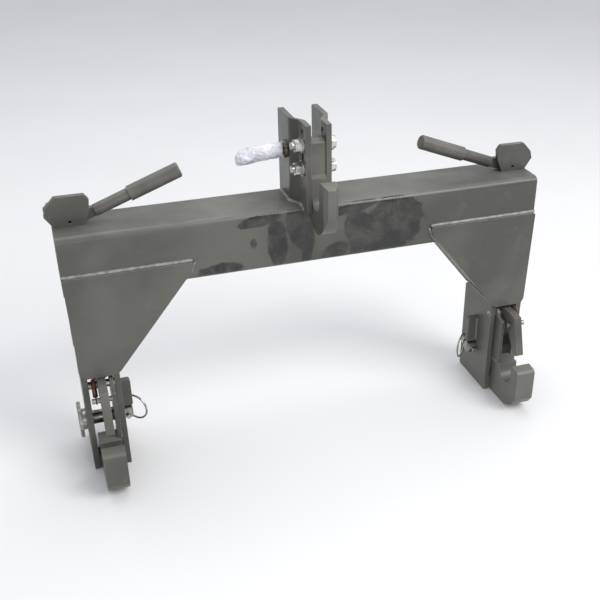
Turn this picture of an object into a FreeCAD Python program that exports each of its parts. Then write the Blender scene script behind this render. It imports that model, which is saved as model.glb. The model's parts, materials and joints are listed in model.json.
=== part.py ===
import FreeCAD, Part
import Sketcher
import math
import os

# Three point quick hitch, category 1.  Millimetres, +Z up, -Y towards the implement, X across the tractor.
# The part stands on its leg plates and hooks: the origin is the middle of its footprint, on that level.

os.makedirs("parts", exist_ok=True)
V = FreeCAD.Vector
doc = FreeCAD.newDocument("quick_hitch")
sheet = doc.addObject("Spreadsheet::Sheet", "Dims")
row_number = [0]


class Q:
    """A length that carries its value and the spreadsheet expression that gives it."""

    def __init__(self, value, text):
        self.v = float(value)
        self.t = text

    def __add__(self, o):
        o = q(o)
        return Q(self.v + o.v, "(%s + %s)" % (self.t, o.t))

    def __radd__(self, o):
        return q(o) + self

    def __sub__(self, o):
        o = q(o)
        return Q(self.v - o.v, "(%s - %s)" % (self.t, o.t))

    def __rsub__(self, o):
        return q(o) - self

    def __mul__(self, o):
        o = float(o)
        return Q(self.v * o, "(%s * %r)" % (self.t, o))

    __rmul__ = __mul__

    def __truediv__(self, o):
        return self * (1.0 / float(o))

    def __neg__(self):
        return self * -1


def q(x):
    return x if isinstance(x, Q) else Q(x, "%r" % float(x))


def cell(alias, value):
    """One driving dimension: a labelled row of the sheet with an alias."""
    row_number[0] += 1
    n = row_number[0]
    sheet.set("A%d" % n, alias)
    sheet.set("B%d" % n, str(value))
    sheet.setAlias("B%d" % n, alias)
    return Q(value, "Dims.%s" % alias)


# ---- driving dimensions ------------------------------------------------------------------------
# The beam's front face and top face are the two datums: Y(a) is a behind the front face, Z(a) is a above the top face.
y_mid = cell("depth_middle", 5.0)               # the beam's front face is this far in front of the origin
stand = cell("standing_height", 398.0)          # beam top above the ground line
half_span = cell("half_span", 343.0)            # hook centre to middle: 686 mm between the two hooks
beam_len = cell("beam_length", 752.0)
beam_h = cell("beam_height", 92.0)
beam_d = cell("beam_depth", 92.0)
beam_wall = cell("beam_wall", 6.0)
beam_r = cell("beam_corner_radius", 9.0)
gus_t = cell("gusset_thickness", 6.0)
gus_top = cell("gusset_top_drop", 60.0)
gus_bot = cell("gusset_bottom_drop", 226.5)
gus_in_top = cell("gusset_inner_top", 188.0)
gap = cell("link_gap", 39.0)                    # clear width between the side plates, for the tractor's ball end
side_t = cell("side_plate_thickness", 9.0)
side_rear = cell("side_plate_rear", 98.0)
hook_w = cell("lower_hook_width", 33.0)
throat_r = cell("lower_throat_radius", 18.6)    # for the 36.5 mm bush of a category 1 lower pin
throat_y = cell("lower_throat_forward", 46.0)
throat_z = cell("lower_throat_drop", 335.0)
top_throat_r = cell("top_throat_radius", 16.2)  # for the 31.75 mm bush of a category 1 top pin
top_hook_t = cell("top_hook_thickness", 22.0)
ear_t = cell("mast_plate_thickness", 8.0)
ear_gap = cell("mast_rear_gap", 45.0)           # takes the 44 mm ball of the tractor's top link
ear_top = cell("mast_height", 128.0)
pin_r = cell("lower_link_pin_radius", 11.0)     # 22 mm pin
top_pin_r = cell("top_link_pin_radius", 9.5)    # 19 mm pin
pivot_r = cell("latch_pivot_radius", 6.0)
latch_t = cell("latch_thickness", 12.5)
running = cell("running_clearance", 0.05)
lever_rod_r = cell("lever_rod_radius", 9.0)
grip_r = cell("grip_radius", 11.3)
guard_t = cell("lever_bracket_thickness", 8.0)
crank_t = cell("crank_thickness", 8.0)
link_r = cell("link_rod_radius", 4.0)
slot_r = cell("link_slot_half_width", 4.4)
bolt_r = cell("hook_bolt_radius", 6.0)
hole_r = cell("hook_hole_radius", 6.3)
hole_pitch = cell("hook_hole_pitch", 17.3)
hole_low = cell("hook_lowest_hole", 61.0)
doc.recompute()

def Y(a):
    """Depth behind the beam's front face, as a Y coordinate."""
    return q(a) - y_mid


def Z(a):
    """Height above the beam's top face, as a Z coordinate."""
    return stand + a


ROLES = {"YZ": "YZ_Plane", "XZ": "XZ_Plane", "XY": "XY_Plane"}
nodes = []


def new_body(name):
    body = doc.addObject("PartDesign::Body", name)
    body.Label = name
    body.Placement = FreeCAD.Placement()
    nodes.append(body)
    return body


def origin_plane(body, role):
    for f in body.Origin.OriginFeatures:
        if f.Role == ROLES[role]:
            return f
    raise RuntimeError("no plane " + role)


def sketch_on(body, plane, offset, name):
    sk = body.newObject("Sketcher::SketchObject", name)
    sk.AttachmentSupport = [(origin_plane(body, plane), "")]
    sk.MapMode = "FlatFace"
    offset = q(offset)
    sk.AttachmentOffset = FreeCAD.Placement(V(0, 0, offset.v), FreeCAD.Rotation())
    sk.setExpression("AttachmentOffset.Base.z", offset.t)
    return sk


def pin_point(sk, geo, pos, x, y):
    """Dimension one sketch point from the sketch's origin, both ways."""
    for kind, value in (("DistanceX", x), ("DistanceY", y)):
        n = sk.addConstraint(Sketcher.Constraint(kind, -1, 1, geo, pos, value.v))
        sk.setExpression("Constraints[%d]" % n, value.t)


def outline(sk, pts):
    """A closed outline.  A point is (x, y).  A point (x, y, "arc", mx, my) is reached by an arc through (mx, my), and
    may add the arc's centre (cx, cy)."""
    pts = [tuple(c if isinstance(c, str) else q(c) for c in p) for p in pts]
    geos = []
    for i, p in enumerate(pts):
        nx = pts[(i + 1) % len(pts)]
        a, b = V(p[0].v, p[1].v, 0), V(nx[0].v, nx[1].v, 0)
        if len(nx) >= 5:
            m = V(nx[3].v, nx[4].v, 0)
            first = (m - a).cross(b - m).z > 0      # anticlockwise as drawn
            g = sk.addGeometry(Part.Arc(a, m, b) if first else Part.Arc(b, m, a), False)
            arc = sk.Geometry[g]
            centre = nx[5:7] if len(nx) == 7 else (q(arc.Center.x), q(arc.Center.y))
            geos.append((g, 1 if first else 2, 2 if first else 1, (a - b, centre)))
        else:
            g = sk.addGeometry(Part.LineSegment(a, b), False)
            geos.append((g, 1, 2, None))
    for i, (g, s, e, _) in enumerate(geos):
        g2, s2 = geos[(i + 1) % len(geos)][:2]
        sk.addConstraint(Sketcher.Constraint("Coincident", g, e, g2, s2))
    for i, (g, s, e, arc) in enumerate(geos):
        pin_point(sk, g, s, pts[i][0], pts[i][1])
        if arc:
            chord, centre = arc
            k = 1 if abs(chord.x) > abs(chord.y) else 0
            n = sk.addConstraint(Sketcher.Constraint(("DistanceX", "DistanceY")[k], -1, 1, g, 3, centre[k].v))
            sk.setExpression("Constraints[%d]" % n, centre[k].t)


def circle(sk, x, y, r):
    x, y, r = q(x), q(y), q(r)
    g = sk.addGeometry(Part.Circle(V(x.v, y.v, 0), V(0, 0, 1), r.v), False)
    pin_point(sk, g, 3, x, y)
    n = sk.addConstraint(Sketcher.Constraint("Radius", g, r.v))
    sk.setExpression("Constraints[%d]" % n, r.t)


def pad(body, sk, length, name="Pad"):
    f = body.newObject("PartDesign::Pad", name)
    f.Profile = sk
    length = q(length)
    f.Length = length.v
    f.setExpression("Length", length.t)
    sk.Visibility = False
    return f


def pocket_through(body, sk, length, name="Pocket", both=True):
    f = body.newObject("PartDesign::Pocket", name)
    f.Profile = sk
    length = q(length)
    f.Length = length.v
    f.setExpression("Length", length.t)
    f.Midplane = both
    sk.Visibility = False
    return f


def plate(name, plane, start, thick, pts, holes=(), side=1):
    """A flat plate.  plane YZ: outline in (Y, Z), from X=start, thick towards +X.  plane XZ: outline in (X, Z), from
    Y=start, thick towards +Y (the XZ plane faces -Y).  plane XY: outline in (X, Y), from Z=start, thick upwards."""
    body = new_body(name)
    start, thick = q(start), q(thick)
    if plane == "XZ":
        sk = sketch_on(body, plane, -(start + thick), "Outline")
    else:
        sk = sketch_on(body, plane, start, "Outline")
    outline(sk, pts)
    for x, y, r in holes:
        circle(sk, x, y, r)
    pad(body, sk, thick)
    return body


def rod(name, plane, start, length, x, y, r, body=None, label="Round"):
    """A round bar normal to the plane."""
    if body is None:
        body = new_body(name)
    start, length = q(start), q(length)
    off = -(start + length) if plane == "XZ" else start
    sk = sketch_on(body, plane, off, label)
    circle(sk, x, y, r)
    pad(body, sk, length, label + "Pad")
    return body


def edges_near(shape, test):
    out = []
    for i, e in enumerate(shape.Edges):
        if test(e):
            out.append("Edge%d" % (i + 1))
    return out


def fillet(body, test, r, kind="Fillet"):
    doc.recompute()
    base = body.Tip
    names = edges_near(base.Shape, test)
    if not names:
        raise RuntimeError("no edges for %s on %s" % (kind, body.Label))
    f = body.newObject("PartDesign::" + kind, kind)
    f.Base = (base, names)
    r = q(r)
    prop = "Radius" if kind == "Fillet" else "Size"
    setattr(f, prop, r.v)
    f.setExpression(prop, r.t)
    doc.recompute()
    return f


def at_points(axis, pts, tol=0.06):
    """Test for straight edges parallel to axis that pass through one of the (u, v) points of the sketch plane."""
    pts = [(q(a).v, q(b).v) for a, b in pts]

    def test(e):
        if not along(axis, e):
            return False
        p = e.Vertexes[0].Point
        u, v = ((p.y, p.z) if abs(axis.x) > 0.5 else (p.x, p.z) if abs(axis.y) > 0.5 else (p.x, p.y))
        return any(abs(u - a) < tol and abs(v - b) < tol for a, b in pts)
    return test


def rounded(body, axis, pts, r, kind="Fillet"):
    """Round the corners at the given points; every point has to be found."""
    doc.recompute()
    found = edges_near(body.Tip.Shape, at_points(axis, pts))
    if len(found) < len(pts):
        raise RuntimeError("%s: %d of %d corners found" % (body.Label, len(found), len(pts)))
    return fillet(body, at_points(axis, pts), r, kind)


def raw(name, shape):
    f = doc.addObject("Part::Feature", name)
    f.Label = name
    f.Shape = shape
    f.Placement = FreeCAD.Placement()
    nodes.append(f)
    return f


def one(shape):
    """The single solid of a shape."""
    if len(shape.Solids) != 1:
        raise RuntimeError("expected one solid, found %d" % len(shape.Solids))
    return shape.Solids[0]


def bent(points, radius, bends):
    """A round bar along straight runs joined by tangent arcs of the radius bends."""
    edges = []
    prev = points[0]
    for i in range(1, len(points) - 1):
        a, b, c = points[i - 1], points[i], points[i + 1]
        d1 = V(b - a)
        d1.normalize()
        d2 = V(c - b)
        d2.normalize()
        turn = d1.getAngle(d2)
        t = bends * math.tan(turn / 2)
        s1, e1 = b - d1 * t, b + d2 * t
        inward = d2 - d1
        inward.normalize()
        centre = b + inward * (bends / math.cos(turn / 2))
        mid = centre - inward * bends
        edges.append(Part.LineSegment(prev, s1).toShape())
        edges.append(Part.Arc(s1, mid, e1).toShape())
        prev = e1
    edges.append(Part.LineSegment(prev, points[-1]).toShape())
    path = Part.Wire(edges)
    section = Part.Wire([Part.makeCircle(radius, points[0], points[1] - points[0])])
    bar = one(path.makePipeShell([section], True, False))
    want = math.pi * radius ** 2 * path.Length
    if abs(bar.Volume / want - 1) > 0.02:
        raise RuntimeError("bar volume %.1f, expected %.1f" % (bar.Volume, want))
    return bar


def along(axis_dir, edge):
    """True for a straight edge parallel to axis_dir."""
    if not isinstance(edge.Curve, Part.Line):
        return False
    d = edge.Curve.Direction
    return abs(abs(d.dot(axis_dir)) - 1) < 1e-6


# ---- beam: square hollow section with rounded corners ------------------------------------------
XA, YA, ZA = V(1, 0, 0), V(0, 1, 0), V(0, 0, 1)
link_y = Y(62)                                  # the link rods pass down through the beam here
body = new_body("crossbeam")
sk = sketch_on(body, "YZ", -beam_len / 2, "Section")
corners = [(Y(0), Z(-beam_h)), (Y(beam_d), Z(-beam_h)), (Y(beam_d), Z(0)), (Y(0), Z(0))]
outline(sk, corners)
pad(body, sk, beam_len)
rounded(body, XA, corners, beam_r)
sk = sketch_on(body, "YZ", 0, "Bore")
outline(sk, [(Y(beam_wall), Z(beam_wall - beam_h)), (Y(beam_d - beam_wall), Z(beam_wall - beam_h)),
             (Y(beam_d - beam_wall), Z(-beam_wall)), (Y(beam_wall), Z(-beam_wall))])
pocket_through(body, sk, beam_len + 20)
sk = sketch_on(body, "XY", Z(-beam_h / 2), "RodHoles")
for s in (-1, 1):
    circle(sk, half_span * s, link_y, 7)
pocket_through(body, sk, beam_h + 20, "RodPocket")

plate_in = half_span - gap / 2                  # channel faces of the two side plates of a leg
plate_out = half_span + gap / 2
face_in = plate_in - side_t                     # inboard and outboard faces of the leg
face_out = plate_out + side_t
link_pin = (Y(50), Z(-333))
pivot = (Y(7), Z(-246))
anchor = (Y(4), Z(-229.5))
cross = (Y(-30), Z(-251))

for s, tag in ((-1, "left"), (1, "right")):
    def X(a):
        """Distance from the middle towards this side."""
        return q(a) * s

    def span(a, b):
        """Start and width of the stretch between two distances on this side, in +X order."""
        a, b = q(a), q(b)
        return (X(b) if s < 0 else X(a)), (b - a)

    # ---- end cap, welded inside the beam's mouth
    x0, w = span(beam_len / 2 - 7, beam_len / 2 - 2)
    plate("beam_end_cap_" + tag, "YZ", x0, w,
          [(Y(beam_wall), Z(beam_wall - beam_h)), (Y(beam_d - beam_wall), Z(beam_wall - beam_h)),
           (Y(beam_d - beam_wall), Z(-beam_wall)), (Y(beam_wall), Z(-beam_wall))])

    # ---- gusset plates on the beam's two faces
    for nm, y0 in (("gusset_front_", Y(-gus_t)), ("gusset_rear_", Y(beam_d))):
        body = plate(nm + tag, "XZ", y0, gus_t,
                     [(X(beam_len / 2), Z(-gus_top)), (X(gus_in_top), Z(-gus_top)),
                      (X(gus_in_top + 6), Z(-gus_top - 17)), (X(gus_in_top + 17), Z(-gus_top - 29)),
                      (X(face_in - 2.5), Z(-gus_bot + 5)), (X(face_in + 5), Z(-gus_bot)),
                      (X(beam_len / 2 - 9), Z(-gus_bot)), (X(beam_len / 2 - 4), Z(-gus_bot + 9))])
        rounded(body, YA, [(X(beam_len / 2), Z(-gus_top)), (X(gus_in_top), Z(-gus_top)),
                           (X(gus_in_top + 6), Z(-gus_top - 17)), (X(gus_in_top + 17), Z(-gus_top - 29))], 4)

    # ---- sloping web between the two gussets, from the beam's underside to the inner side plate
    plate("gusset_web_" + tag, "XZ", Y(0), beam_d,
          [(X(gus_in_top + 20.5), Z(-beam_h)), (X(face_in), Z(-gus_bot + 5)), (X(face_in), Z(-gus_bot + 14.5)),
           (X(gus_in_top + 28.5), Z(-beam_h))])

    # ---- side plates of the leg, drilled for the link pin, the latch pivot and the spring's anchor
    side_pts = [(Y(0), Z(-stand)), (Y(side_rear), Z(-stand)), (Y(side_rear), Z(-gus_bot)),
                (Y(beam_d), Z(-gus_bot)), (Y(beam_d), Z(-beam_h)), (Y(0), Z(-beam_h))]
    x0, w = span(face_in, plate_in)
    body = plate("side_plate_inner_" + tag, "YZ", x0, w, side_pts,
                 [(link_pin[0], link_pin[1], pin_r + running), (pivot[0], pivot[1], pivot_r)])
    rounded(body, XA, [(Y(side_rear), Z(-stand)), (Y(side_rear), Z(-gus_bot))], 5)
    x0, w = span(plate_out, face_out)
    body = plate("side_plate_outer_" + tag, "YZ", x0, w, side_pts,
                 [(link_pin[0], link_pin[1], pin_r + running), (pivot[0], pivot[1], pivot_r),
                  (anchor[0], anchor[1], 2.5)])
    rounded(body, XA, [(Y(side_rear), Z(-stand)), (Y(side_rear), Z(-gus_bot))], 5)

    # ---- lower hook: a thick block between the side plates, its horn in front; the root fills the channel
    ty, tz, r = -throat_y, -throat_z, throat_r
    x0, w = span(half_span - hook_w / 2, half_span + hook_w / 2)
    hook = [(Y(ty + r), Z(-331)), (Y(3), Z(-331)), (Y(3), Z(-352)), (Y(26), Z(-373)), (Y(26), Z(-stand)),
            (Y(-50), Z(-stand)), (Y(-63), Z(-stand + 6)), (Y(-78), Z(-stand + 15)), (Y(-88), Z(-369)),
            (Y(-88), Z(-317)), (Y(-83), Z(-313.5)), (Y(-67), Z(-312)), (Y(ty - r), Z(-315)), (Y(ty - r), Z(tz)),
            (Y(ty + r), Z(tz), "arc", Y(ty), Z(tz - r), Y(ty), Z(tz))]
    body = plate("lower_hook_" + tag, "YZ", x0, w, hook)
    rounded(body, XA, [(Y(-50), Z(-stand)), (Y(-63), Z(-stand + 6)), (Y(-78), Z(-stand + 15)), (Y(-88), Z(-369))], 7)
    rounded(body, XA, [(Y(-88), Z(-317)), (Y(-83), Z(-313.5)), (Y(ty - r), Z(-315))], 2.5)
    x0, w = span(plate_in, plate_out)
    sk = sketch_on(body, "YZ", x0, "Root")
    outline(sk, [(Y(2), Z(-stand)), (Y(26), Z(-stand)), (Y(26), Z(-375)), (Y(2), Z(-375))])
    pad(body, sk, w, "RootPad")

    # ---- guide plate beside the latch, standing on the hook and held by the pivot pin
    x0, w = span(half_span - 18, half_span - 12)
    guide = [(Y(-21), Z(-331)), (Y(3), Z(-331)), (Y(22), Z(-300)), (Y(20), Z(-238)), (Y(14), Z(-234.5)),
             (Y(2), Z(-234.5)), (Y(-4), Z(-239)), (Y(-7), Z(-246)), (Y(-21), Z(-249.5))]
    body = plate("latch_guide_" + tag, "YZ", x0, w, guide, [(pivot[0], pivot[1], pivot_r)])
    rounded(body, XA, [(Y(-21), Z(-249.5)), (Y(14), Z(-234.5)), (Y(2), Z(-234.5))], 3)

    # ---- latch pivot pin, welded into the side plates
    x0, w = span(face_in, face_out)
    body = rod("latch_pivot_pin_" + tag, "YZ", x0, w, pivot[0], pivot[1], pivot_r)
    # ---- stud that anchors the spring, welded into the outer plate
    x0, w = span(half_span + 7.3, face_out)
    rod("spring_anchor_pin_" + tag, "YZ", x0, w, anchor[0], anchor[1], 2.5)

    # ---- latch: slanted nose over the throat, tail behind the pivot
    tilt = math.radians(15.72)                   # the latch turns twice this
    tc, ts = math.cos(tilt), math.sin(tilt)

    def tail(a, b):
        """A point a along and b above the tail's centre line, from the pivot."""
        return (pivot[0] + (a * tc + b * ts), pivot[1] + (-a * ts + b * tc))

    x0, w = span(half_span - latch_t / 2, half_span + latch_t / 2)
    nose = [(Y(-42), Z(-233)), (Y(-61.5), Z(-296)), (Y(-57), Z(-299)), (Y(-47), Z(-297)), (Y(-26), Z(-267)),
            (Y(-6), Z(-259.5)), (Y(5), Z(-256.5))]
    tl = [tail(14, -9), tail(50, -8.5), tail(50, 8.5), tail(12, 9.5)]
    body = plate("latch_" + tag, "YZ", x0, w, nose + tl + [(Y(5), Z(-235)), (Y(-4), Z(-232.5)), (Y(-22), Z(-231))],
                 [(pivot[0], pivot[1], pivot_r + running), (cross[0], cross[1], 4)])
    rounded(body, XA, [tl[1], tl[2]], 5)
    rounded(body, XA, [(Y(-61.5), Z(-296)), (Y(-57), Z(-299)), (Y(-47), Z(-297)), (Y(-26), Z(-267))], 2.5)
    sk = sketch_on(body, "YZ", X(half_span), "TailSlot")
    h, a1, a2 = slot_r.v, 38.3, 40.8
    outline(sk, [tail(a1, -h) + ("arc",) + tail(a1 - h, 0), tail(a2, -h), tail(a2, h) + ("arc",) + tail(a2 + h, 0),
                 tail(a1, h)])
    pocket_through(body, sk, latch_t + 10, "TailPocket")

    # ---- cross pin pressed through the latch: the spring hooks on its outer end
    x0, w = span(half_span - 11.2, plate_out - 1)
    rod("latch_cross_pin_" + tag, "YZ", x0, w, cross[0], cross[1], 4)

    # ---- latch return spring: close-wound tube of coils with a loop round each pin
    xs = (half_span.v + 12) * s
    p0, p1 = V(xs, cross[0].v, cross[1].v), V(xs, anchor[0].v, anchor[1].v)
    u = p1 - p0
    length = u.Length
    u.normalize()
    coil = Part.makeCylinder(4.0, length - 10.0, p0 + u * 5.6, u)
    loops = [Part.makeTorus(5.1, 0.9, p0, XA), Part.makeTorus(3.8, 0.9, p1, XA)]
    raw("latch_spring_" + tag, one(coil.fuse(loops[0]).fuse(loops[1])))

    # ---- lower link pin: shank through the leg, disc outside, cross hole inside for the linchpin
    x_in, x_disc = face_in - 15.5, face_out + 6.5
    body = new_body("lower_link_pin_" + tag)
    x0, w = span(x_in, x_disc)
    rod(None, "YZ", x0, w, link_pin[0], link_pin[1], pin_r, body, "Shank")
    x0, w = span(x_disc, x_disc + 6)
    rod(None, "YZ", x0, w, link_pin[0], link_pin[1], 29, body, "Disc")
    lin_x = X(face_in - 7)
    sk = sketch_on(body, "XZ", -link_pin[0], "CrossHole")
    circle(sk, lin_x, link_pin[1], 3.6)
    pocket_through(body, sk, 60, "CrossPocket")
    ends = [x_in.v, x_disc.v + 6]
    fillet(body, lambda e: isinstance(e.Curve, Part.Circle) and e.BoundBox.XLength < 0.01
           and any(abs(abs(e.BoundBox.XMin) - a) < 0.01 for a in ends), 1.5, "Chamfer")

    # ---- collar on the link pin between disc and plate
    x0, w = span(face_out + 0.4, x_disc)
    body = new_body("link_pin_collar_" + tag)
    sk = sketch_on(body, "YZ", x0, "Ring")
    circle(sk, link_pin[0], link_pin[1], 17)
    circle(sk, link_pin[0], link_pin[1], pin_r)
    pad(body, sk, w)

    # ---- linchpin through the link pin's end, head behind
    ly, lz = link_pin
    body = new_body("linchpin_" + tag)
    rod(None, "XZ", ly - 18, 34, lin_x, lz, 3.5, body, "Shank")
    rod(None, "XZ", ly + 16, 12, lin_x, lz, 6.5, body, "Head")
    sk = sketch_on(body, "XY", lz, "RingHole")
    circle(sk, lin_x, ly + 22, 2.8)
    pocket_through(body, sk, 40, "RingPocket")
    # ---- its ring, hinged in the head and snapped over the link pin's end
    slant = math.radians(45)
    rr = 21.0
    c = V(lin_x.v - s * rr * math.sin(slant), (ly + 22).v - rr * math.cos(slant), lz.v)
    raw("linchpin_ring_" + tag, Part.makeTorus(rr, 1.6, c, V(math.cos(slant), -s * math.sin(slant), 0)))

    # ---- guard tab over the linchpin, welded to the inner side plate
    sx = X(face_in)
    body = plate("linchpin_guard_" + tag, "XZ", Y(45), 10,
                 [(sx, Z(-272)), (sx - X(17), Z(-272)), (sx - X(17), Z(-320)), (sx, Z(-320))])
    rounded(body, YA, [(sx - X(17), Z(-272)), (sx - X(17), Z(-320))], 4)

    # ---- lever bracket: an eight-sided plate on the beam's end
    pts8 = [(332, 0), (374, 0), (375, 3), (385, 18), (382, 30), (368, 45), (327, 45), (321, 37), (323, 20)]
    body = plate("lever_bracket_" + tag, "XZ", Y(40), guard_t,
                 [(X(a), Z(b)) for a, b in pts8], [(X(351), Z(7), 2.5)])
    rounded(body, YA, [(X(a), Z(b)) for a, b in pts8[3:8]], 2)
    pv = (X(373), Z(20))
    # ---- pivot stud welded to the bracket's back, and its nut
    rod("lever_pivot_stud_" + tag, "XZ", Y(48), 24, pv[0], pv[1], 6)
    body = new_body("lever_pivot_nut_" + tag)
    sk = sketch_on(body, "XZ", -Y(68), "Hexagon")
    outline(sk, [(pv[0] + 10.4 * math.cos(math.radians(60 * i)), pv[1] + 10.4 * math.sin(math.radians(60 * i)))
                 for i in range(6)])
    circle(sk, pv[0], pv[1], 6)
    pad(body, sk, 10.0)

    # ---- lever crank: plate with the link rod's slot, its tongue set in the handle rod
    rise = math.radians(20.6)
    rc, rs = math.cos(rise), math.sin(rise)

    def on_rod(a, b):
        """A point of the handle rod's centre line plane: a inwards along it from 314 mm out, b above it."""
        return (314.0 - a * rc + b * rs, 15.0 + a * rs + b * rc)

    crank = [(384, 14), (384, 26), (378, 31), (364, 31), (346, 21.5), on_rod(0, 7), on_rod(13, 7), on_rod(13, -7),
             on_rod(0, -7), (331, 1.4), (345, 1.2), (361, 4), (375, 8.5)]
    body = new_body("lever_crank_" + tag)
    sk = sketch_on(body, "XZ", -(Y(49) + crank_t), "Outline")
    outline(sk, [(X(a), Z(b)) for a, b in crank])
    circle(sk, pv[0], pv[1], 6 + running)
    pad(body, sk, crank_t)
    dip = math.radians(20)                        # the lever turns twice this
    dc, ds = math.cos(dip), math.sin(dip)

    def arm(a, b):
        """A point a along and b above the crank's slot line, from its pivot."""
        return (X(373 - a * dc - b * ds), Z(20 - a * ds + b * dc))

    sk = sketch_on(body, "XZ", -Y(53), "LinkSlot")
    a1, a2 = 29.5, 32.4
    outline(sk, [arm(a1, -h) + ("arc",) + arm(a1 - h, 0), arm(a2, -h), arm(a2, h) + ("arc",) + arm(a2 + h, 0),
                 arm(a1, h)])
    pocket_through(body, sk, 30, "LinkPocket")

    # ---- handle rod, slotted over the crank's tongue, and the grip on it
    ax, az = on_rod(0, 0)
    turn = FreeCAD.Rotation(ZA, V(-s * rc, 0, rs))
    base = V(s * ax, Y(53).v, Z(az).v)
    bar = doc.addObject("Part::Cylinder", "LeverBar_" + tag)
    bar.Placement = FreeCAD.Placement(base, turn)
    bar.setExpression("Radius", lever_rod_r.t)
    bar.Height = 129.0
    slot = doc.addObject("Part::Box", "LeverSlot_" + tag)
    slot.Length, slot.Height = 14.0, 23.0
    slot.setExpression("Width", crank_t.t)
    lo = base + turn.multVec(V(-7, -crank_t.v / 2, -10))
    slot.Placement = FreeCAD.Placement(lo, turn)
    rodcut = doc.addObject("Part::Cut", "lever_rod_" + tag)
    rodcut.Base, rodcut.Tool = bar, slot
    rodcut.Label = "lever_rod_" + tag
    nodes.append(rodcut)
    d = V(-s * rc, 0, rs)
    g0 = base + d * 53.4
    grip = Part.makeCylinder(grip_r.v, 80, g0, d)
    grip = grip.cut(Part.makeCylinder(lever_rod_r.v, 129.0 - 53.4, g0, d))
    grip = grip.makeFillet(3.0, [e for e in grip.Edges if isinstance(e.Curve, Part.Circle)
                                 and abs(e.Curve.Radius - grip_r.v) < 0.01 and (e.Curve.Center - g0).Length > 40])
    raw("lever_grip_" + tag, one(grip))

    # ---- link rod: bent bar from the crank down through the beam to the latch's tail
    lx, inner = s * half_span.v, s * (half_span.v - 10.5)
    ly2, lz2 = Y(45.8).v, Z(-256.92).v
    p = [V(lx, Y(48.7).v, Z(9.08).v), V(lx, link_y.v, Z(9.08).v), V(lx, link_y.v, Z(-118).v),
         V(inner, ly2, Z(-176).v), V(inner, ly2, lz2), V(s * (half_span.v + 9.5), ly2, lz2)]
    raw("link_rod_" + tag, bent(p, link_r.v, 4.4))

# ---- mast: two plates on the beam, joggled inwards at the front to hold the hook -------------------
front_gap = top_hook_t + 0.6
for s, tag in ((-1, "left"), (1, "right")):
    def X(a):
        return q(a) * s

    body = new_body("mast_plate_" + tag)
    sk = sketch_on(body, "XY", Z(0), "Plan")
    gi, fi, t = ear_gap / 2, front_gap / 2, ear_t
    plan = [(X(gi), Y(88)), (X(gi), Y(30)), (X(fi), Y(14)), (X(fi), Y(-15)), (X(fi + t), Y(-15)),
            (X(fi + t), Y(17)), (X(gi + t), Y(33)), (X(gi + t), Y(88))]
    outline(sk, plan)
    pad(body, sk, ear_top)
    rounded(body, ZA, [plan[1], plan[5]], 6)
    rounded(body, ZA, [plan[2], plan[6]], 13)
    sk = sketch_on(body, "XY", Z(-5), "Toe")
    outline(sk, [(X(fi), Y(-0.3)), (X(fi), Y(-15)), (X(fi + t), Y(-15)), (X(fi + t), Y(-0.3))])
    pad(body, sk, 5.0, "ToePad")
    sk = sketch_on(body, "YZ", 0, "Holes")
    for i in range(4):
        circle(sk, Y(2), Z(hole_low) + hole_pitch * i, hole_r)
    circle(sk, Y(47), Z(77), top_pin_r + running)
    pocket_through(body, sk, 120, "HolePocket")
    rounded(body, XA, [(Y(88), Z(ear_top))], 4)

# ---- top hook, bolted between the mast plates ---------------------------------------------------
r = top_throat_r
tc_y, tc_z = q(-31.5), q(22)
shape = [(Y(12), Z(0.8)), (Y(12), Z(100)), (Y(6), Z(106)), (Y(-7), Z(106)), (Y(-13), Z(101)), (Y(-13), Z(54)),
         (Y(tc_y + r), Z(48)), (Y(tc_y + r), Z(tc_z)), (Y(tc_y - r), Z(tc_z), "arc", Y(tc_y), Z(tc_z - r), Y(tc_y), Z(tc_z)),
         (Y(tc_y - r), Z(42)), (Y(-51.5), Z(57)), (Y(-67), Z(57)), (Y(-73), Z(51)), (Y(-73), Z(14)),
         (Y(-38), Z(-28), "arc", Y(-62.5), Z(-14.5)), (Y(-1.5), Z(-9), "arc", Y(-16.5), Z(-23.5)), (Y(-1.5), Z(0.8))]
body = plate("top_hook", "YZ", -top_hook_t / 2, top_hook_t, shape,
             [(Y(2), Z(hole_low), hole_r), (Y(2), Z(hole_low) + hole_pitch * 2, hole_r)])
rounded(body, XA, [(Y(6), Z(106)), (Y(-7), Z(106)), (Y(-13), Z(101)), (Y(-51.5), Z(57)), (Y(-67), Z(57))], 3)
# the horn's front edges are cut back on both sides
sk = sketch_on(body, "XY", Z(0), "FrontCuts")
for s in (-1, 1):
    outline(sk, [(s * 11.5, Y(-66.5)), (s * 11.5, Y(-74)), (s * 4.5, Y(-74))])
pocket_through(body, sk, 400, "FrontPocket")

# ---- hook bolts, washers and nuts: heads on the right, nuts and thread ends on the left --------------
outer = (front_gap / 2 + ear_t).v


def hexagon(x0, length, y, z, af):
    rr = af / math.sqrt(3)
    pts = [V(x0, y + rr * math.cos(math.radians(60 * i + 30)), z + rr * math.sin(math.radians(60 * i + 30)))
           for i in range(7)]
    return Part.Face(Part.makePolygon(pts)).extrude(V(length, 0, 0))


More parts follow.
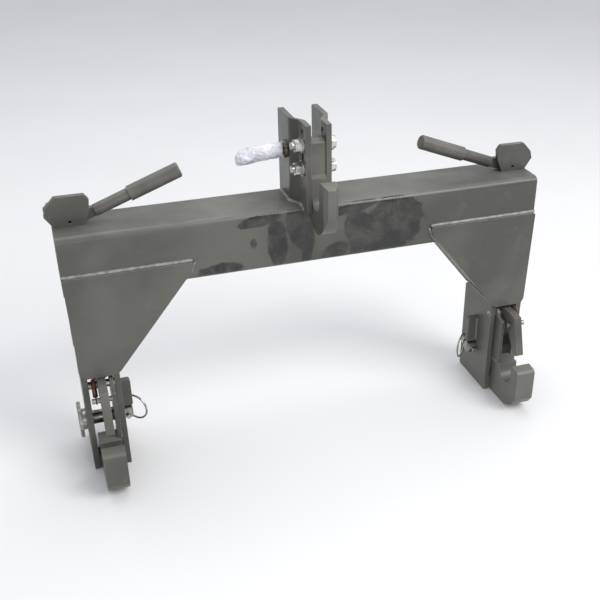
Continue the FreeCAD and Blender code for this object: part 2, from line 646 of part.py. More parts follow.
bolts, washers, nuts = [], [], []
for i in (0, 2):
    y, z = Y(2).v, (Z(hole_low) + hole_pitch * i).v
    shank = Part.makeCylinder(bolt_r.v, 2 * outer + 20.5, V(-outer - 18, y, z), XA)
    shank = shank.makeChamfer(0.9, [e for e in shank.Edges if abs(e.BoundBox.XMax + outer + 18) < 0.01])
    head = hexagon(outer + 2.5, 7.5, y, z, 18.5)
    cone = Part.makeCone(10.7, 9.2, 7.5, V(outer + 2.5, y, z), XA)
    bolts.append(one(shank.fuse(head.common(cone))))
    for x0 in (outer, -outer - 2.5):
        washers.append(one(Part.makeCylinder(12, 2.5, V(x0, y, z), XA).cut(
            Part.makeCylinder(bolt_r.v + 0.3, 2.5, V(x0, y, z), XA))))
    nut = hexagon(-outer - 12.8, 10.3, y, z, 18.5).common(
        Part.makeCone(9.2, 11.2, 10.3, V(-outer - 12.8, y, z), XA))
    nuts.append(one(nut.cut(Part.makeCylinder(bolt_r.v, 40, V(-outer - 30, y, z), XA))))
raw("hook_bolts", Part.makeCompound(bolts))
raw("hook_bolt_washers", Part.makeCompound(washers))
raw("hook_bolt_nuts", Part.makeCompound(nuts))

# ---- top link pin: shank, stop collar, handle bar --------------------------------------------------
ear_out = (ear_gap / 2 + ear_t).v
py, pz = Y(47), Z(77)
body = new_body("top_link_pin")
rod(None, "YZ", -ear_out - 1.5, ear_out * 2 + 14.5, py, pz, top_pin_r, body, "Shank")
rod(None, "YZ", -ear_out - 6.0, 5.5, py, pz, 13.0, body, "Collar")
rod(None, "YZ", -ear_out - 56, 51, py, pz, 6.5, body, "Handle")
sk = sketch_on(body, "XY", pz, "ClipHole")
circle(sk, ear_out + 7, py, 2.3)
pocket_through(body, sk, 60, "ClipPocket")
fillet(body, lambda e: isinstance(e.Curve, Part.Circle) and e.BoundBox.XLength < 0.01
       and abs(e.BoundBox.XMin - (ear_out + 13)) < 0.05, 2.0, "Chamfer")
# ---- hairpin clip through the pin's right end
cx = ear_out + 7
raw("top_pin_clip", bent([V(cx, py.v, pz.v - 17), V(cx, py.v, pz.v + 20), V(cx, py.v + 12.4, pz.v + 20),
                          V(cx, py.v + 12.4, pz.v - 6)], 2.0, 5.5))
# ---- the packing wrapped round the handle
ax = -ear_out - 7.0
rings = []
for dx, rad, dy, dz in ((0, 10.0, 0, 0), (-5, 13.2, 0, -0.5), (-22, 14.3, 0, -1.5), (-45, 14.6, 0, -3.5),
                        (-60, 14.0, 0, -7), (-70.5, 8.0, 0, -10)):
    rings.append(Part.Wire([Part.makeCircle(rad, V(ax + dx, py.v + dy, pz.v + dz), XA)]))
wrap = Part.makeLoft(rings, True, False)
raw("handle_wrap", one(wrap.cut(Part.makeCylinder(6.5, 49.0, V(-ear_out - 56, py.v, pz.v), XA))))

# ---- check everything, then write -----------------------------------------------------------------
doc.recompute()
bad = [o.Label for o in doc.Objects if any(w in ("Invalid", "Error") for w in o.State)]
for n in nodes:
    if n.Shape.isNull() or not n.Shape.isValid() or n.Shape.Volume <= 0:
        bad.append(n.Label + " (shape)")
if bad:
    raise RuntimeError("these failed: " + ", ".join(sorted(set(bad))))
if len(nodes) > 60:
    raise RuntimeError("too many nodes")
for n in nodes:
    n.Shape.exportStep("parts/%s.step" % n.Label)
print(len(nodes), "nodes written")
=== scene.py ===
# Three point quick hitch: looks.  Everything is in metres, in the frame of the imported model.
import json
import math
import random
import bpy
import bmesh
from mathutils import Vector, Matrix, noise


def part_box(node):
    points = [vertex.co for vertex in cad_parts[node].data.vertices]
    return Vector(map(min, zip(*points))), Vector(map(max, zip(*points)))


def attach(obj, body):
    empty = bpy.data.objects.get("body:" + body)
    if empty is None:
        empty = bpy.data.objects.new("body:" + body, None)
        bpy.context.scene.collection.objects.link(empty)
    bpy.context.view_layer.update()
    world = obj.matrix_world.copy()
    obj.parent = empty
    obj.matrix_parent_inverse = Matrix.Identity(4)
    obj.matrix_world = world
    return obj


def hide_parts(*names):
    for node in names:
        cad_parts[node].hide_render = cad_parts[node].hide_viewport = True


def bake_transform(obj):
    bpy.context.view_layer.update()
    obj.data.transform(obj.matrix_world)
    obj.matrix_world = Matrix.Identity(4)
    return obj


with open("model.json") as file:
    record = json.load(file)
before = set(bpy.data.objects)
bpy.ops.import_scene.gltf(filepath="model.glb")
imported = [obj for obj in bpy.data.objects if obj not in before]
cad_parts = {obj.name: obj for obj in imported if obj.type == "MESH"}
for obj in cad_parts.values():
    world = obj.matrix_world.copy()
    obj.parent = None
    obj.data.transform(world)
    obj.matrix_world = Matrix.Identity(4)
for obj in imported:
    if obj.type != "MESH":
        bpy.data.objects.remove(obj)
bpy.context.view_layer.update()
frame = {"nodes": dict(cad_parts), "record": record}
NODES = frame["nodes"]
random.seed(7)
MM = 0.001


def Y(a):
    """a mm behind the beam's front face."""
    return (a - 5.0) * MM


def Z(a):
    """a mm above the beam's top face."""
    return (a + 398.0) * MM


# ------------------------------------------------------------------------------------------ camera
def camera():
    yaw, pitch, roll = math.radians(-20.22), math.radians(-29.85), math.radians(0.54)
    fwd = Vector((-math.sin(yaw) * math.cos(pitch), math.cos(yaw) * math.cos(pitch), math.sin(pitch)))
    right = Vector((math.cos(yaw), math.sin(yaw), 0.0))
    up = right.cross(fwd)
    rr = right * math.cos(roll) + up * math.sin(roll)
    uu = -right * math.sin(roll) + up * math.cos(roll)
    cam = bpy.data.cameras.new("Camera")
    cam.sensor_width = 36.0
    cam.lens = 36.0 * 906.25 / 600.0
    cam.shift_x = (300.0 - 347.74) / 600.0
    cam.shift_y = (322.60 - 300.0) / 600.0
    cam.clip_start, cam.clip_end = 0.01, 50.0
    ob = bpy.data.objects.new("Camera", cam)
    bpy.context.scene.collection.objects.link(ob)
    m = Matrix((rr, uu, -fwd)).transposed().to_4x4()
    m.translation = Vector((-0.3885, -1.1950 - 0.005, 0.52116 + 0.398))
    ob.matrix_world = m
    bpy.context.scene.camera = ob
    return ob


camera()


# ---------------------------------------------------------------------------------------- lighting
def area(name, loc, target, size, power, color=(1, 1, 1), size_y=None):
    light = bpy.data.lights.new(name, "AREA")
    light.shape = "RECTANGLE"
    light.size = size
    light.size_y = size_y or size
    light.energy = power
    light.color = color
    ob = bpy.data.objects.new(name, light)
    bpy.context.scene.collection.objects.link(ob)
    ob.location = loc
    d = Vector(target) - Vector(loc)
    ob.rotation_euler = d.to_track_quat("-Z", "Y").to_euler()
    return ob


world = bpy.data.worlds.new("World")
bpy.context.scene.world = world
world.use_nodes = True
bg = world.node_tree.nodes["Background"]
bg.inputs["Color"].default_value = (0.93, 0.95, 1.0, 1)
bg.inputs["Strength"].default_value = 0.62
area("Edge", (0.7, -1.15, 2.0), (0.05, 0, 0.35), 1.5, 9, (1, 1, 1), 0.15)
area("Key", (1.6, -1.9, 2.3), (0, 0, 0.3), 1.6, 46, (1.0, 0.985, 0.96))
area("Top", (0.1, 0.9, 2.6), (0, 0, 0.35), 2.2, 22)
area("Fill", (-0.4, -2.8, 0.9), (0, 0, 0.25), 1.4, 9)

bpy.context.scene.view_settings.view_transform = "Standard"
bpy.context.scene.view_settings.look = "None"

floor_mesh = bpy.data.meshes.new("floor")
floor_mesh.from_pydata([(-6, -6, 0), (6, -6, 0), (6, 6, 0), (-6, 6, 0)], [], [(0, 1, 2, 3)])
floor = bpy.data.objects.new("floor", floor_mesh)
bpy.context.scene.collection.objects.link(floor)
floor.visible_diffuse = False


# --------------------------------------------------------------------------------------- materials
class Mat:
    """A small helper for building node trees."""

    def __init__(self, name):
        self.m = bpy.data.materials.new(name)
        self.m.use_nodes = True
        self.t = self.m.node_tree
        self.bsdf = self.t.nodes["Principled BSDF"]
        tc = self.t.nodes.new("ShaderNodeTexCoord")
        self.obj = tc.outputs["Object"]
        geo = self.t.nodes.new("ShaderNodeNewGeometry")
        self.normal = geo.outputs["Normal"]
        self.pos = self.obj

    def link(self, a, b):
        self.t.links.new(a, b)

    def put(self, socket, value):
        if isinstance(value, bpy.types.NodeSocket):
            self.link(value, socket)
        else:
            socket.default_value = value

    def mapping(self, scale=(1, 1, 1), loc=(0, 0, 0), rot=(0, 0, 0), source=None):
        n = self.t.nodes.new("ShaderNodeMapping")
        self.link(source or self.obj, n.inputs["Vector"])
        n.inputs["Scale"].default_value = scale
        n.inputs["Location"].default_value = loc
        n.inputs["Rotation"].default_value = rot
        return n.outputs["Vector"]

    def noise(self, scale, detail=4.0, rough=0.55, dist=0.0, source=None):
        n = self.t.nodes.new("ShaderNodeTexNoise")
        n.inputs["Scale"].default_value = scale
        n.inputs["Detail"].default_value = detail
        n.inputs["Roughness"].default_value = rough
        n.inputs["Distortion"].default_value = dist
        self.link(source or self.obj, n.inputs["Vector"])
        return n.outputs["Fac"]

    def voronoi(self, scale, source=None, feature="F1"):
        n = self.t.nodes.new("ShaderNodeTexVoronoi")
        n.feature = feature
        n.inputs["Scale"].default_value = scale
        self.link(source or self.obj, n.inputs["Vector"])
        return n.outputs["Distance"]

    def wave(self, scale, axis="X", dist=0.0, source=None, detail=0.0):
        n = self.t.nodes.new("ShaderNodeTexWave")
        n.bands_direction = axis
        n.inputs["Scale"].default_value = scale
        n.inputs["Distortion"].default_value = dist
        n.inputs["Detail"].default_value = detail
        self.link(source or self.obj, n.inputs["Vector"])
        return n.outputs["Fac"]

    def ramp(self, fac, lo, hi, a=0.0, b=1.0, clamp=True):
        n = self.t.nodes.new("ShaderNodeMapRange")
        n.clamp = clamp
        self.link(fac, n.inputs["Value"])
        n.inputs["From Min"].default_value = lo
        n.inputs["From Max"].default_value = hi
        n.inputs["To Min"].default_value = a
        n.inputs["To Max"].default_value = b
        return n.outputs["Result"]

    def smooth(self, fac, lo, hi, a=0.0, b=1.0):
        n = self.t.nodes.new("ShaderNodeMapRange")
        n.interpolation_type = "SMOOTHSTEP"
        self.link(fac, n.inputs["Value"])
        n.inputs["From Min"].default_value = lo
        n.inputs["From Max"].default_value = hi
        n.inputs["To Min"].default_value = a
        n.inputs["To Max"].default_value = b
        return n.outputs["Result"]

    def math(self, op, a, b=0.0, c=None):
        n = self.t.nodes.new("ShaderNodeMath")
        n.operation = op
        self.put(n.inputs[0], a)
        self.put(n.inputs[1], b)
        if c is not None:
            self.put(n.inputs[2], c)
        return n.outputs[0]

    def mix(self, fac, a, b, kind="MIX"):
        n = self.t.nodes.new("ShaderNodeMix")
        n.data_type = "RGBA"
        n.blend_type = kind
        n.clamp_factor = True
        self.put(n.inputs["Factor"], fac)
        for s, v in ((n.inputs[6], a), (n.inputs[7], b)):
            if isinstance(v, tuple):
                s.default_value = (v[0], v[1], v[2], 1.0)
            else:
                self.link(v, s)
        return n.outputs[2]

    def xyz(self, source=None):
        n = self.t.nodes.new("ShaderNodeSeparateXYZ")
        self.link(source or self.obj, n.inputs[0])
        return n.outputs[0], n.outputs[1], n.outputs[2]

    def bump(self, height, strength=0.2, dist=0.001, normal=None):
        n = self.t.nodes.new("ShaderNodeBump")
        n.inputs["Strength"].default_value = strength
        n.inputs["Distance"].default_value = dist
        self.link(height, n.inputs["Height"])
        if normal is not None:
            self.link(normal, n.inputs["Normal"])
        return n.outputs["Normal"]

    def bevel(self, radius):
        n = self.t.nodes.new("ShaderNodeBevel")
        n.samples = 4
        n.inputs["Radius"].default_value = radius
        return n.outputs["Normal"]

    def ellipse(self, x, z, cx, cz, rx, rz, tilt=0.0):
        """Distance from the centre of an ellipse drawn in the X-Z plane (mm from the beam's middle and top), scaled to
        be 0 at the centre and 1 on the ellipse.
        """
        c, s = math.cos(tilt), math.sin(tilt)
        dx = self.math("SUBTRACT", x, cx * MM)
        dz = self.math("SUBTRACT", z, Z(cz))
        u = self.math("ADD", self.math("MULTIPLY", dx, c / (rx * MM)), self.math("MULTIPLY", dz, s / (rx * MM)))
        v = self.math("SUBTRACT", self.math("MULTIPLY", dz, c / (rz * MM)), self.math("MULTIPLY", dx, s / (rz * MM)))
        return self.math("SQRT", self.math("ADD", self.math("MULTIPLY", u, u), self.math("MULTIPLY", v, v)))


def lin(r, g, b):
    """8-bit display values to linear."""
    return tuple(((c / 255.0) / 12.92 if c / 255.0 <= 0.04045 else ((c / 255.0 + 0.055) / 1.055) ** 2.4)
                 for c in (r, g, b))


def paint(name, dark=(70, 70, 64), light=(96, 95, 88), rough=0.36, marks=None, bevel=1.1):
    """Semi-gloss grey paint over steel: slow tone shifts, orange peel, dust on what faces up, rubbed edges with a
    painted highlight on them.
    """
    k = Mat(name)
    slow = k.noise(5.0, 3.0, 0.5, 0.4)
    mid = k.noise(34.0, 5.0, 0.6, 0.2)
    fine = k.noise(420.0, 3.0, 0.6)
    base = k.mix(k.smooth(slow, 0.36, 0.66), lin(*dark), lin(*light))
    base = k.mix(k.smooth(mid, 0.52, 0.78, 0.0, 0.35), base, lin(light[0] + 14, light[1] + 13, light[2] + 10))
    base = k.mix(k.smooth(fine, 0.60, 0.80, 0.0, 0.22), base, lin(dark[0] - 22, dark[1] - 22, dark[2] - 20))
    # dust settles on what faces up
    nx, ny, nz = k.xyz(k.normal)
    dust = k.math("MULTIPLY", k.smooth(nz, 0.45, 0.95), k.smooth(k.noise(16.0, 5.0, 0.65), 0.35, 0.75, 0.25, 0.62))
    base = k.mix(dust, base, lin(128, 127, 122))
    # runs and wipe marks, slightly stretched along the length
    streak = k.noise(9.0, 4.0, 0.6, 0.3, k.mapping((1.0, 1.0, 6.0)))
    base = k.mix(k.smooth(streak, 0.56, 0.74, 0.0, 0.16), base, lin(dark[0] - 20, dark[1] - 19, dark[2] - 17))
    rgh = k.ramp(mid, 0.3, 0.75, rough - 0.07, rough + 0.10)
    rgh = k.math("ADD", rgh, k.math("MULTIPLY", dust, 0.22))
    # rubbed edges with a painted highlight along them, found from the difference between a rounded and the true normal
    rounded = k.bevel(bevel * MM)
    dot = k.t.nodes.new("ShaderNodeVectorMath")
    dot.operation = "DOT_PRODUCT"
    k.link(rounded, dot.inputs[0])
    k.link(k.normal, dot.inputs[1])
    edge_wear_and_highlight = k.smooth(dot.outputs["Value"], 0.985, 0.90)
    edge_wear_and_highlight = k.math("MULTIPLY", edge_wear_and_highlight, k.smooth(k.noise(60.0, 4.0, 0.6), 0.30, 0.62, 0.25, 0.85))
    # the lighter edge colour is partly rubbed paint and partly a painted highlight
    base = k.mix(edge_wear_and_highlight, base, lin(150, 149, 143))
    if marks is not None:
        base, rgh = marks(k, base, rgh)
    peel = k.noise(650.0, 2.0, 0.5)
    lump = k.noise(48.0, 3.0, 0.5)
    n1 = k.bump(lump, 0.10, 0.0012, rounded)
    n2 = k.bump(peel, 0.05, 0.0004, n1)
    k.link(n2, k.bsdf.inputs["Normal"])
    k.link(base, k.bsdf.inputs["Base Color"])
    k.link(rgh, k.bsdf.inputs["Roughness"])
    k.bsdf.inputs["Metallic"].default_value = 0.0
    k.bsdf.inputs["IOR"].default_value = 1.5
    k.bsdf.inputs["Coat Weight"].default_value = 0.12
    k.bsdf.inputs["Coat Roughness"].default_value = 0.22
    return k.m


def beam_painted_reflections(k, base, rgh):
    """Dark glossy patches on the beam's front face: painted reflections of dark surroundings in the gloss paint."""
    x, y, z = k.xyz()
    nx, ny, nz = k.xyz(k.normal)
    wob = k.noise(30.0, 4.0, 0.6)
    wob2 = k.noise(75.0, 3.0, 0.6)
    shift = k.math("ADD", k.math("MULTIPLY", k.math("SUBTRACT", wob, 0.5), 0.9),
                   k.math("MULTIPLY", k.math("SUBTRACT", wob2, 0.5), 0.35))
    facing = k.smooth(ny, -0.35, -0.75)
    total = None
    for cx, cz, rx, rz, tilt, lo, hi in (
            (62, -10, 40, 9, 0.15, 1.05, 0.85), (70, -52, 26, 44, 0.25, 1.05, 0.85), (128, -40, 50, 44, -0.15, 1.05, 0.88),
            (112, -74, 46, 20, 0.0, 1.05, 0.85), (30, -78, 26, 14, 0.4, 1.1, 0.8), (-14, -58, 10, 40, -0.12, 1.1, 0.8),
            (-86, -12, 34, 9, 0.1, 1.1, 0.85), (-62, -50, 16, 44, 0.05, 1.05, 0.85), (-28, -34, 17, 40, 0.35, 1.05, 0.85),
            (-150, -84, 36, 13, 0.1, 1.1, 0.8), (-98, -46, 6, 9, 0.0, 1.1, 0.8)):
        d = k.math("ADD", k.ellipse(x, z, cx, cz, rx, rz, tilt), shift)
        m = k.smooth(d, lo, hi)
        total = m if total is None else k.math("MAXIMUM", total, m)
    total = k.math("MULTIPLY", total, facing)
    thin = k.smooth(k.noise(22.0, 5.0, 0.7, 0.6), 0.34, 0.62, 0.45, 1.0)
    depth = k.math("MULTIPLY", total, thin)
    # near-black patches: painted reflections
    base = k.mix(depth, base, lin(22, 23, 22))
    rgh = k.mix_value(depth, rgh, 0.20) if hasattr(k, "mix_value") else rgh
    return base, rgh


def mix_value(self, fac, a, b):
    n = self.t.nodes.new("ShaderNodeMix")
    n.data_type = "FLOAT"
    self.put(n.inputs["Factor"], fac)
    self.put(n.inputs[2], a)
    self.put(n.inputs[3], b)
    return n.outputs[0]


Mat.mix_value = mix_value


def zinc(name, tone=(196, 196, 190), dull=(128, 126, 118), rough=0.26):
    """Zinc plated steel: bright, with dull spangled patches and fine turning lines."""
    k = Mat(name)
    patch = k.noise(60.0, 5.0, 0.65, 0.5)
    fine = k.noise(900.0, 2.0, 0.5)
    base = k.mix(k.smooth(patch, 0.38, 0.68), lin(*tone), lin(*dull))
    base = k.mix(k.smooth(fine, 0.60, 0.85, 0.0, 0.4), base, lin(70, 66, 58))
    k.link(base, k.bsdf.inputs["Base Color"])
    k.bsdf.inputs["Metallic"].default_value = 1.0
    k.link(k.ramp(patch, 0.3, 0.7, rough - 0.08, rough + 0.16), k.bsdf.inputs["Roughness"])
    n0 = k.bevel(0.5 * MM)
    n1 = k.bump(fine, 0.12, 0.0003, n0)
    n2 = k.bump(k.noise(120.0, 3.0, 0.5), 0.08, 0.0006, n1)
    k.link(n2, k.bsdf.inputs["Normal"])
    return k.m


def rusty(name, a=(94, 58, 34), b=(52, 36, 28)):
    """Browned spring wire."""
    k = Mat(name)
    patch = k.noise(150.0, 5.0, 0.65, 0.5)
    fine = k.noise(1400.0, 2.0, 0.5)
    base = k.mix(k.smooth(patch, 0.36, 0.66), lin(*a), lin(*b))
    base = k.mix(k.smooth(fine, 0.55, 0.8, 0.0, 0.5), base, lin(128, 92, 60))
    k.link(base, k.bsdf.inputs["Base Color"])
    k.bsdf.inputs["Metallic"].default_value = 0.55
    k.link(k.ramp(patch, 0.3, 0.7, 0.38, 0.62), k.bsdf.inputs["Roughness"])
    k.link(k.bump(fine, 0.3, 0.0003), k.bsdf.inputs["Normal"])
    return k.m


def film(name):
    """White packing film: translucent, milky, glossy along its creases."""
    k = Mat(name)
    slow = k.noise(45.0, 4.0, 0.6, 0.6)
    base = k.mix(k.smooth(slow, 0.35, 0.68), lin(240, 240, 246), lin(206, 204, 214))
    fine = k.noise(260.0, 4.0, 0.6, 0.8)
    base = k.mix(k.smooth(fine, 0.62, 0.80, 0.0, 0.35), base, lin(176, 174, 186))
    k.link(base, k.bsdf.inputs["Base Color"])
    k.link(k.ramp(slow, 0.3, 0.7, 0.22, 0.42), k.bsdf.inputs["Roughness"])
    k.bsdf.inputs["Subsurface Weight"].default_value = 0.35
    k.bsdf.inputs["Subsurface Radius"].default_value = (0.004, 0.004, 0.004)
    k.bsdf.inputs["Subsurface Scale"].default_value = 1.0
    n1 = k.bump(k.noise(120.0, 5.0, 0.65, 1.2), 0.35, 0.0015)
    n2 = k.bump(fine, 0.30, 0.0006, n1)
    k.link(n2, k.bsdf.inputs["Normal"])
    return k.m


def weld_steel(name):
    """Weld bead under the paint, coloured lighter than the frame paint all over: a painted highlight for the light
    line that its ripples catch.
    """
    k = Mat(name)
    patch = k.noise(90.0, 4.0, 0.6, 0.3)
    fine = k.noise(700.0, 3.0, 0.6)
    # the light bead tones are a painted highlight
    base = k.mix(k.smooth(patch, 0.35, 0.65), lin(118, 117, 110), lin(152, 151, 144))
    base = k.mix(k.smooth(fine, 0.58, 0.78, 0.0, 0.5), base, lin(62, 61, 56))
    k.link(base, k.bsdf.inputs["Base Color"])
    k.link(k.ramp(patch, 0.3, 0.7, 0.28, 0.46), k.bsdf.inputs["Roughness"])
    k.bsdf.inputs["Metallic"].default_value = 0.1
    k.link(k.bump(fine, 0.4, 0.0005), k.bsdf.inputs["Normal"])
    return k.m


def floor_material():
    k = Mat("floor_pale")
    n = k.noise(2.2, 3.0, 0.5)
    k.link(k.mix(k.smooth(n, 0.3, 0.7), (0.86, 0.86, 0.86), (0.88, 0.88, 0.88)), k.bsdf.inputs["Base Color"])
    k.bsdf.inputs["Roughness"].default_value = 0.9
    k.bsdf.inputs["Specular IOR Level"].default_value = 0.2
    return k.m


M = {
    "beam": paint("beam_paint", marks=beam_painted_reflections),
    "frame": paint("frame_paint"),
    "hook": paint("hook_paint", dark=(72, 71, 64), light=(104, 103, 95), rough=0.40),
    "lever": paint("lever_paint", dark=(60, 59, 55), light=(104, 102, 96), rough=0.38),
    "grip": paint("grip_vinyl", dark=(66, 65, 61), light=(112, 110, 104), rough=0.42),
    "zinc": zinc("zinc_plate"),
    "pin": zinc("pin_zinc", (172, 170, 162), (96, 92, 84), 0.30),
    "spring": rusty("spring_wire"),
    "film": film("packing_film"),
    "weld": weld_steel("weld_bead"),
    # near-black gusset web paint: painted shade for the deep shadow on the webs
    "web": paint("web_painted_shade", dark=(20, 20, 19), light=(34, 34, 32), rough=0.5),
}
floor.data.materials.append(floor_material())

SLOT = {"frame_paint": "frame", "hook_paint": "hook", "lever_paint": "lever", "grip": "grip", "zinc": "zinc",
        "pin_steel": "pin", "spring_steel": "spring", "wrap": "film"}
for sp in frame["record"]["subparts"]:
    ob = NODES[sp["node"]]
    key = SLOT[sp["material_slot"]]
    if sp["node"] == "crossbeam":
        key = "beam"
    # the gusset webs take the near-black paint: painted shade
    if sp["node"].startswith("gusset_web"):
        key = "web"
    ob.data.materials.clear()
    ob.data.materials.append(M[key])


# -------------------------------------------------------------------------------------- new pieces
def mesh_object(name, verts, faces, mat, body, smooth=True):
    me = bpy.data.meshes.new(name)
    me.from_pydata([tuple(v) for v in verts], [], faces)
    me.update()
    bm = bmesh.new()
    bm.from_mesh(me)
    bmesh.ops.recalc_face_normals(bm, faces=bm.faces)
    bm.to_mesh(me)
    bm.free()
    if smooth:
        for p in me.polygons:
            p.use_smooth = True
    me.materials.append(M[mat])
    ob = bpy.data.objects.new(name, me)
    bpy.context.scene.collection.objects.link(ob)
    if body:
        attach(ob, body)
    return ob


def tube_rings(path, frames, radius_fn, sides):
    """Rings of points round a path; radius_fn(i, angle) gives the distance."""
    rings = []
    for i, (p, (a, b)) in enumerate(zip(path, frames)):
        ring = []
        for j in range(sides):
            t = 2 * math.pi * j / sides
            r = radius_fn(i, t)
            ring.append(p + a * (math.cos(t) * r) + b * (math.sin(t) * r))
        rings.append(ring)
    return rings


def skin(rings, closed_ends=True):
    verts = [v for r in rings for v in r]
    n = len(rings[0])
    faces = []
    for i in range(len(rings) - 1):
        for j in range(n):
            a, b = i * n + j, i * n + (j + 1) % n
            faces.append((a, b, b + n, a + n))
    if closed_ends:
        faces.append(tuple(reversed(range(n))))
        faces.append(tuple(range((len(rings) - 1) * n, len(rings) * n)))
    return verts, faces


beads = {}


def weld(body, pts, out, width=2.6, step=1.15, seed=0):
    """A weld bead along a polyline.  out is the direction that the bead bulges towards, in the corner's bisector."""
    rnd = random.Random(seed)
    pts = [Vector(p) for p in pts]
    out = Vector(out).normalized()
    path, tangents = [], []
    for a, b in zip(pts, pts[1:]):
        n = max(2, int((b - a).length / (step * MM)))
        for i in range(n):
            path.append(a.lerp(b, i / n))
            tangents.append((b - a).normalized())
    path.append(pts[-1])
    tangents.append((pts[-1] - pts[-2]).normalized())
    phase = rnd.random() * 6
    rings = []
    count = len(path)
    for i, (p, t) in enumerate(zip(path, tangents)):
        side = t.cross(out).normalized()
        s = i * step
        ripple = 0.5 + 0.5 * math.sin(2 * math.pi * s / 4.2 + phase)
        drift = noise.noise(Vector((s * 0.05, seed * 3.1, 0.0)))
        ends = min(1.0, (i + 0.6) / 3.0, (count - i - 0.4) / 3.0)
        w = width * MM * (1.0 + 0.22 * drift + 0.10 * ripple) * (0.55 + 0.45 * ends)
        h = width * MM * (0.62 + 0.16 * ripple + 0.18 * drift) * (0.4 + 0.6 * ends)
        off = side * (0.25 * MM * noise.noise(Vector((s * 0.11, 5.0, seed * 1.7))))
        ring = []
        for j in range(9):
            a = math.pi * j / 8
            # the ripples trail behind the arc
            lag = t * (-1.3 * MM * math.sin(a))
            ring.append(p + off + side * (math.cos(a) * w) + out * (math.sin(a) * h) + lag)
        ring.append(p + off - out * (0.8 * MM) - side * (0.3 * w))
        ring.append(p + off - out * (0.8 * MM) + side * (0.3 * w))
        rings.append(ring)
    verts, faces = skin(rings)
    store = beads.setdefault(body, ([], []))
    base = len(store[0])
    store[0].extend(verts)
    store[1].extend(tuple(i + base for i in f) for f in faces)


for s in (-1, 1):
    # gusset edges on the beam's faces
    for y, o in ((Y(-3.2), -1), (Y(95.2), 1)):
        weld("frame", [(s * 0.3755, Y(-0.4) if o < 0 else Y(92.4), Z(-58.6)),
                       (s * 0.190, Y(-0.4) if o < 0 else Y(92.4), Z(-58.6))], (0, o, 1), 2.7, seed=3 + s + o)
        weld("frame", [(s * 0.1875, Y(-0.6) if o < 0 else Y(92.6), Z(-62)),
                       (s * 0.193, Y(-0.6) if o < 0 else Y(92.6), Z(-77)),
                       (s * 0.2025, Y(-0.6) if o < 0 else Y(92.6), Z(-87))], (-s * 0.8, o, -0.2), 2.2, seed=9 + s + o)
    # mast plates on the beam
    weld("frame", [(s * 0.0310, Y(82), Z(0.3)), (s * 0.0310, Y(34), Z(0.3)), (s * 0.0200, Y(16), Z(0.3)),
                   (s * 0.0198, Y(5), Z(0.3))], (s, 0, 1), 3.2, seed=21 + s)
    weld("frame", [(s * 0.0220, Y(80), Z(0.3)), (s * 0.0220, Y(36), Z(0.3))], (-s, 0, 1), 2.4, seed=25 + s)
    weld("frame", [(s * 0.0195, Y(-0.2), Z(-4)), (s * 0.0198, Y(5), Z(0))], (s, -0.6, 1), 2.4, seed=29 + s)
    # lever bracket's foot
    weld("frame", [(s * 0.3335, Y(48.2), Z(0.2)), (s * 0.362, Y(48.2), Z(0.2))], (0, 1, 1), 2.2, seed=35 + s)
    # end cap in the beam's mouth
    x = s * 0.3742
    weld("frame", [(x, Y(8), Z(-7)), (x, Y(84), Z(-7))], (s, 0, -0.6), 1.8, seed=41 + s)
    weld("frame", [(x, Y(84), Z(-85)), (x, Y(8), Z(-85))], (s, 0, 0.6), 1.8, seed=43 + s)
    weld("frame", [(x, Y(7), Z(-85)), (x, Y(7), Z(-7))], (s, 0.6, 0), 1.8, seed=45 + s)
    weld("frame", [(x, Y(85), Z(-7)), (x, Y(85), Z(-85))], (s, -0.6, 0), 1.8, seed=47 + s)
    # side plates against beam and gussets, outside and inside
    weld("frame", [(s * 0.3716, Y(4), Z(-92.3)), (s * 0.3716, Y(88), Z(-92.3))], (s, 0, -0.8), 2.0, seed=51 + s)
    weld("frame", [(s * 0.3716, Y(0.2), Z(-96)), (s * 0.3716, Y(0.2), Z(-222))], (s, 0.5, 0), 2.0, seed=53 + s)
    weld("frame", [(s * 0.3716, Y(91.8), Z(-96)), (s * 0.3716, Y(91.8), Z(-224))], (s, -0.5, 0), 2.0, seed=55 + s)
    # webs between the gussets
    for o, y in ((-1, 1.0), (1, 91.0)):
        weld("frame", [(s * 0.2098, Y(y), Z(-93.5)), (s * 0.3132, Y(y), Z(-219))], (-s * 0.7, -o * 0.6, -0.6), 1.8,
             seed=61 + s + o)
    weld("frame", [(s * 0.3138, Y(4), Z(-221.6)), (s * 0.3138, Y(88), Z(-221.6))], (-s, 0, -0.6), 2.2, seed=65 + s)
    weld("frame", [(s * 0.2082, Y(4), Z(-92.4)), (s * 0.2082, Y(88), Z(-92.4))], (-s, 0, -0.6), 2.2, seed=67 + s)
    # guide plate on the hook
    weld("frame", [(s * 0.3251, Y(-19.5), Z(-330.8)), (s * 0.3251, Y(0), Z(-330.8))], (-s, 0, 1), 1.4, seed=77 + s)
    # linchpin guard on the inner plate
    weld("frame", [(s * 0.3143, Y(44.8), Z(-275)), (s * 0.3143, Y(44.8), Z(-318))], (-s, -1, 0), 2.0, seed=81 + s)
    weld("frame", [(s * 0.3143, Y(55.2), Z(-275)), (s * 0.3143, Y(55.2), Z(-318))], (-s, 1, 0), 2.0, seed=83 + s)

for body, (verts, faces) in beads.items():
    mesh_object("weld_beads", verts, faces, "weld", body)


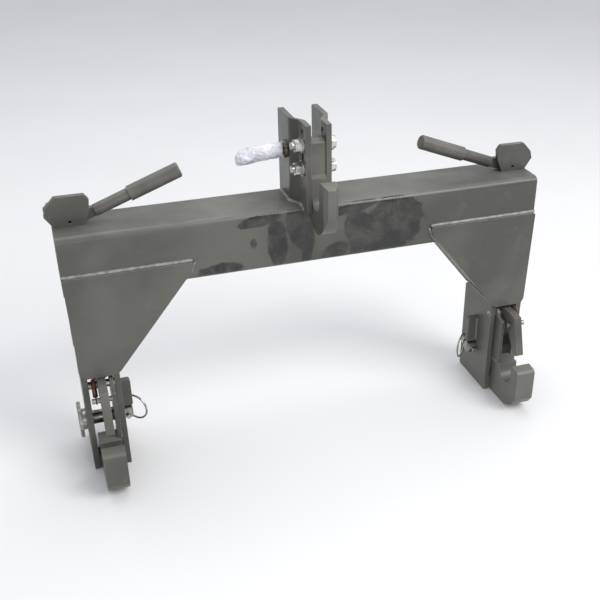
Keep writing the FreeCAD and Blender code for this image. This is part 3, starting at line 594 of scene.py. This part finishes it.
# ---- latch springs: a wound coil with a loop round each pin
def helix_spring(name, tag, s):
    x = s * 0.355
    p0 = Vector((x, Y(-30), Z(-251)))
    p1 = Vector((x, Y(4), Z(-229.5)))
    u = (p1 - p0).normalized()
    length = (p1 - p0).length
    a = Vector((1, 0, 0))
    b = u.cross(a).normalized()
    wire, coil = 0.85 * MM, 3.15 * MM
    start, stop = 5.9 * MM, length - 5.0 * MM
    turns = int((stop - start) / (1.95 * MM))
    path = []
    # loop round the cross pin, from its far side
    for i in range(26):
        t = -0.4 + (2 * math.pi - 0.5) * i / 25
        path.append(p0 + (u * math.cos(t) - b * math.sin(t)) * (5.1 * MM) * 1.0)
    path.reverse()
    neck = p0 + u * (5.4 * MM)
    steps = turns * 16
    for i in range(steps + 1):
        t = 2 * math.pi * turns * i / steps
        ease = min(1.0, i / 10.0, (steps - i) / 10.0)
        r = coil * (0.35 + 0.65 * ease)
        path.append(p0 + u * (start + (stop - start) * i / steps) + (a * math.sin(t) + b * math.cos(t)) * r)
    for i in range(24):
        t = math.pi + 0.35 + (2 * math.pi - 0.6) * i / 23
        path.append(p1 + (u * math.cos(t) + b * math.sin(t)) * (3.8 * MM))
    # frames along the path
    rings = []
    prev = None
    for i, p in enumerate(path):
        q0, q1 = path[max(0, i - 1)], path[min(len(path) - 1, i + 1)]
        t = (q1 - q0).normalized()
        n = (prev - t * prev.dot(t)) if prev is not None else t.orthogonal()
        n.normalize()
        prev = n
        m = t.cross(n)
        rings.append([p + n * (math.cos(w) * wire) + m * (math.sin(w) * wire)
                      for w in [2 * math.pi * j / 8 for j in range(8)]])
    verts, faces = skin(rings)
    ob = mesh_object(name, verts, faces, "spring", None)
    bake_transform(ob)
    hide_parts("latch_spring_" + tag)
    return ob


for s, tag in ((-1, "left"), (1, "right")):
    helix_spring("coil_spring_" + tag, tag, s)


# ---- handle wrap: crumpled packing film
def wrap():
    lo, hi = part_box("handle_wrap")
    cy, cz = Y(47), Z(77)
    x0, x1 = hi.x, lo.x
    stations = 64
    sides = 72
    rings = []
    prof = [(0.0, 9.6, 0.0), (0.04, 12.6, -0.3), (0.12, 13.2, -1.0), (0.30, 13.8, -1.6), (0.5, 13.4, -2.4), (0.66, 13.9, -3.6),
            (0.8, 13.2, -5.6), (0.9, 12.0, -7.4), (0.96, 9.6, -8.8), (1.0, 6.2, -9.8)]

    def at(t):
        for (a, ra, za), (b, rb, zb) in zip(prof, prof[1:]):
            if t <= b:
                f = (t - a) / (b - a)
                f = f * f * (3 - 2 * f)
                return ra + (rb - ra) * f, za + (zb - za) * f
        return prof[-1][1:]
    for i in range(stations + 1):
        t = i / stations
        r, dz = at(t)
        ring = []
        for j in range(sides):
            a = 2 * math.pi * j / sides
            twist = a * 1.0 + t * 2.4
            p = Vector((t * 5.0, math.cos(twist) * 1.3, math.sin(twist) * 1.3))
            fold = 1.0 - abs(noise.noise(p * 1.1)) * 2.0
            crease = 1.0 - abs(noise.noise(p * 2.6 + Vector((7, 1, 3)))) * 2.0
            fine = noise.noise(p * 6.5 + Vector((2, 9, 4)))
            rr = r * (0.80 + 0.13 * fold + 0.07 * crease) + 0.35 * fine
            rr *= 1.0 + 0.06 * math.cos(2 * a + 1.0)
            ring.append(Vector((x0 + (x1 - x0) * t + 0.0006 * fine, cy + math.cos(a) * rr * MM * 0.97,
                                cz + dz * MM + math.sin(a) * rr * MM)))
        rings.append(ring)
    verts, faces = skin(rings)
    ob = mesh_object("packing_wrap", verts, faces, "film", "top_pin")
    sub = ob.modifiers.new("sub", "SUBSURF")
    sub.levels = sub.render_levels = 1
    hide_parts("handle_wrap")
    return ob


wrap()
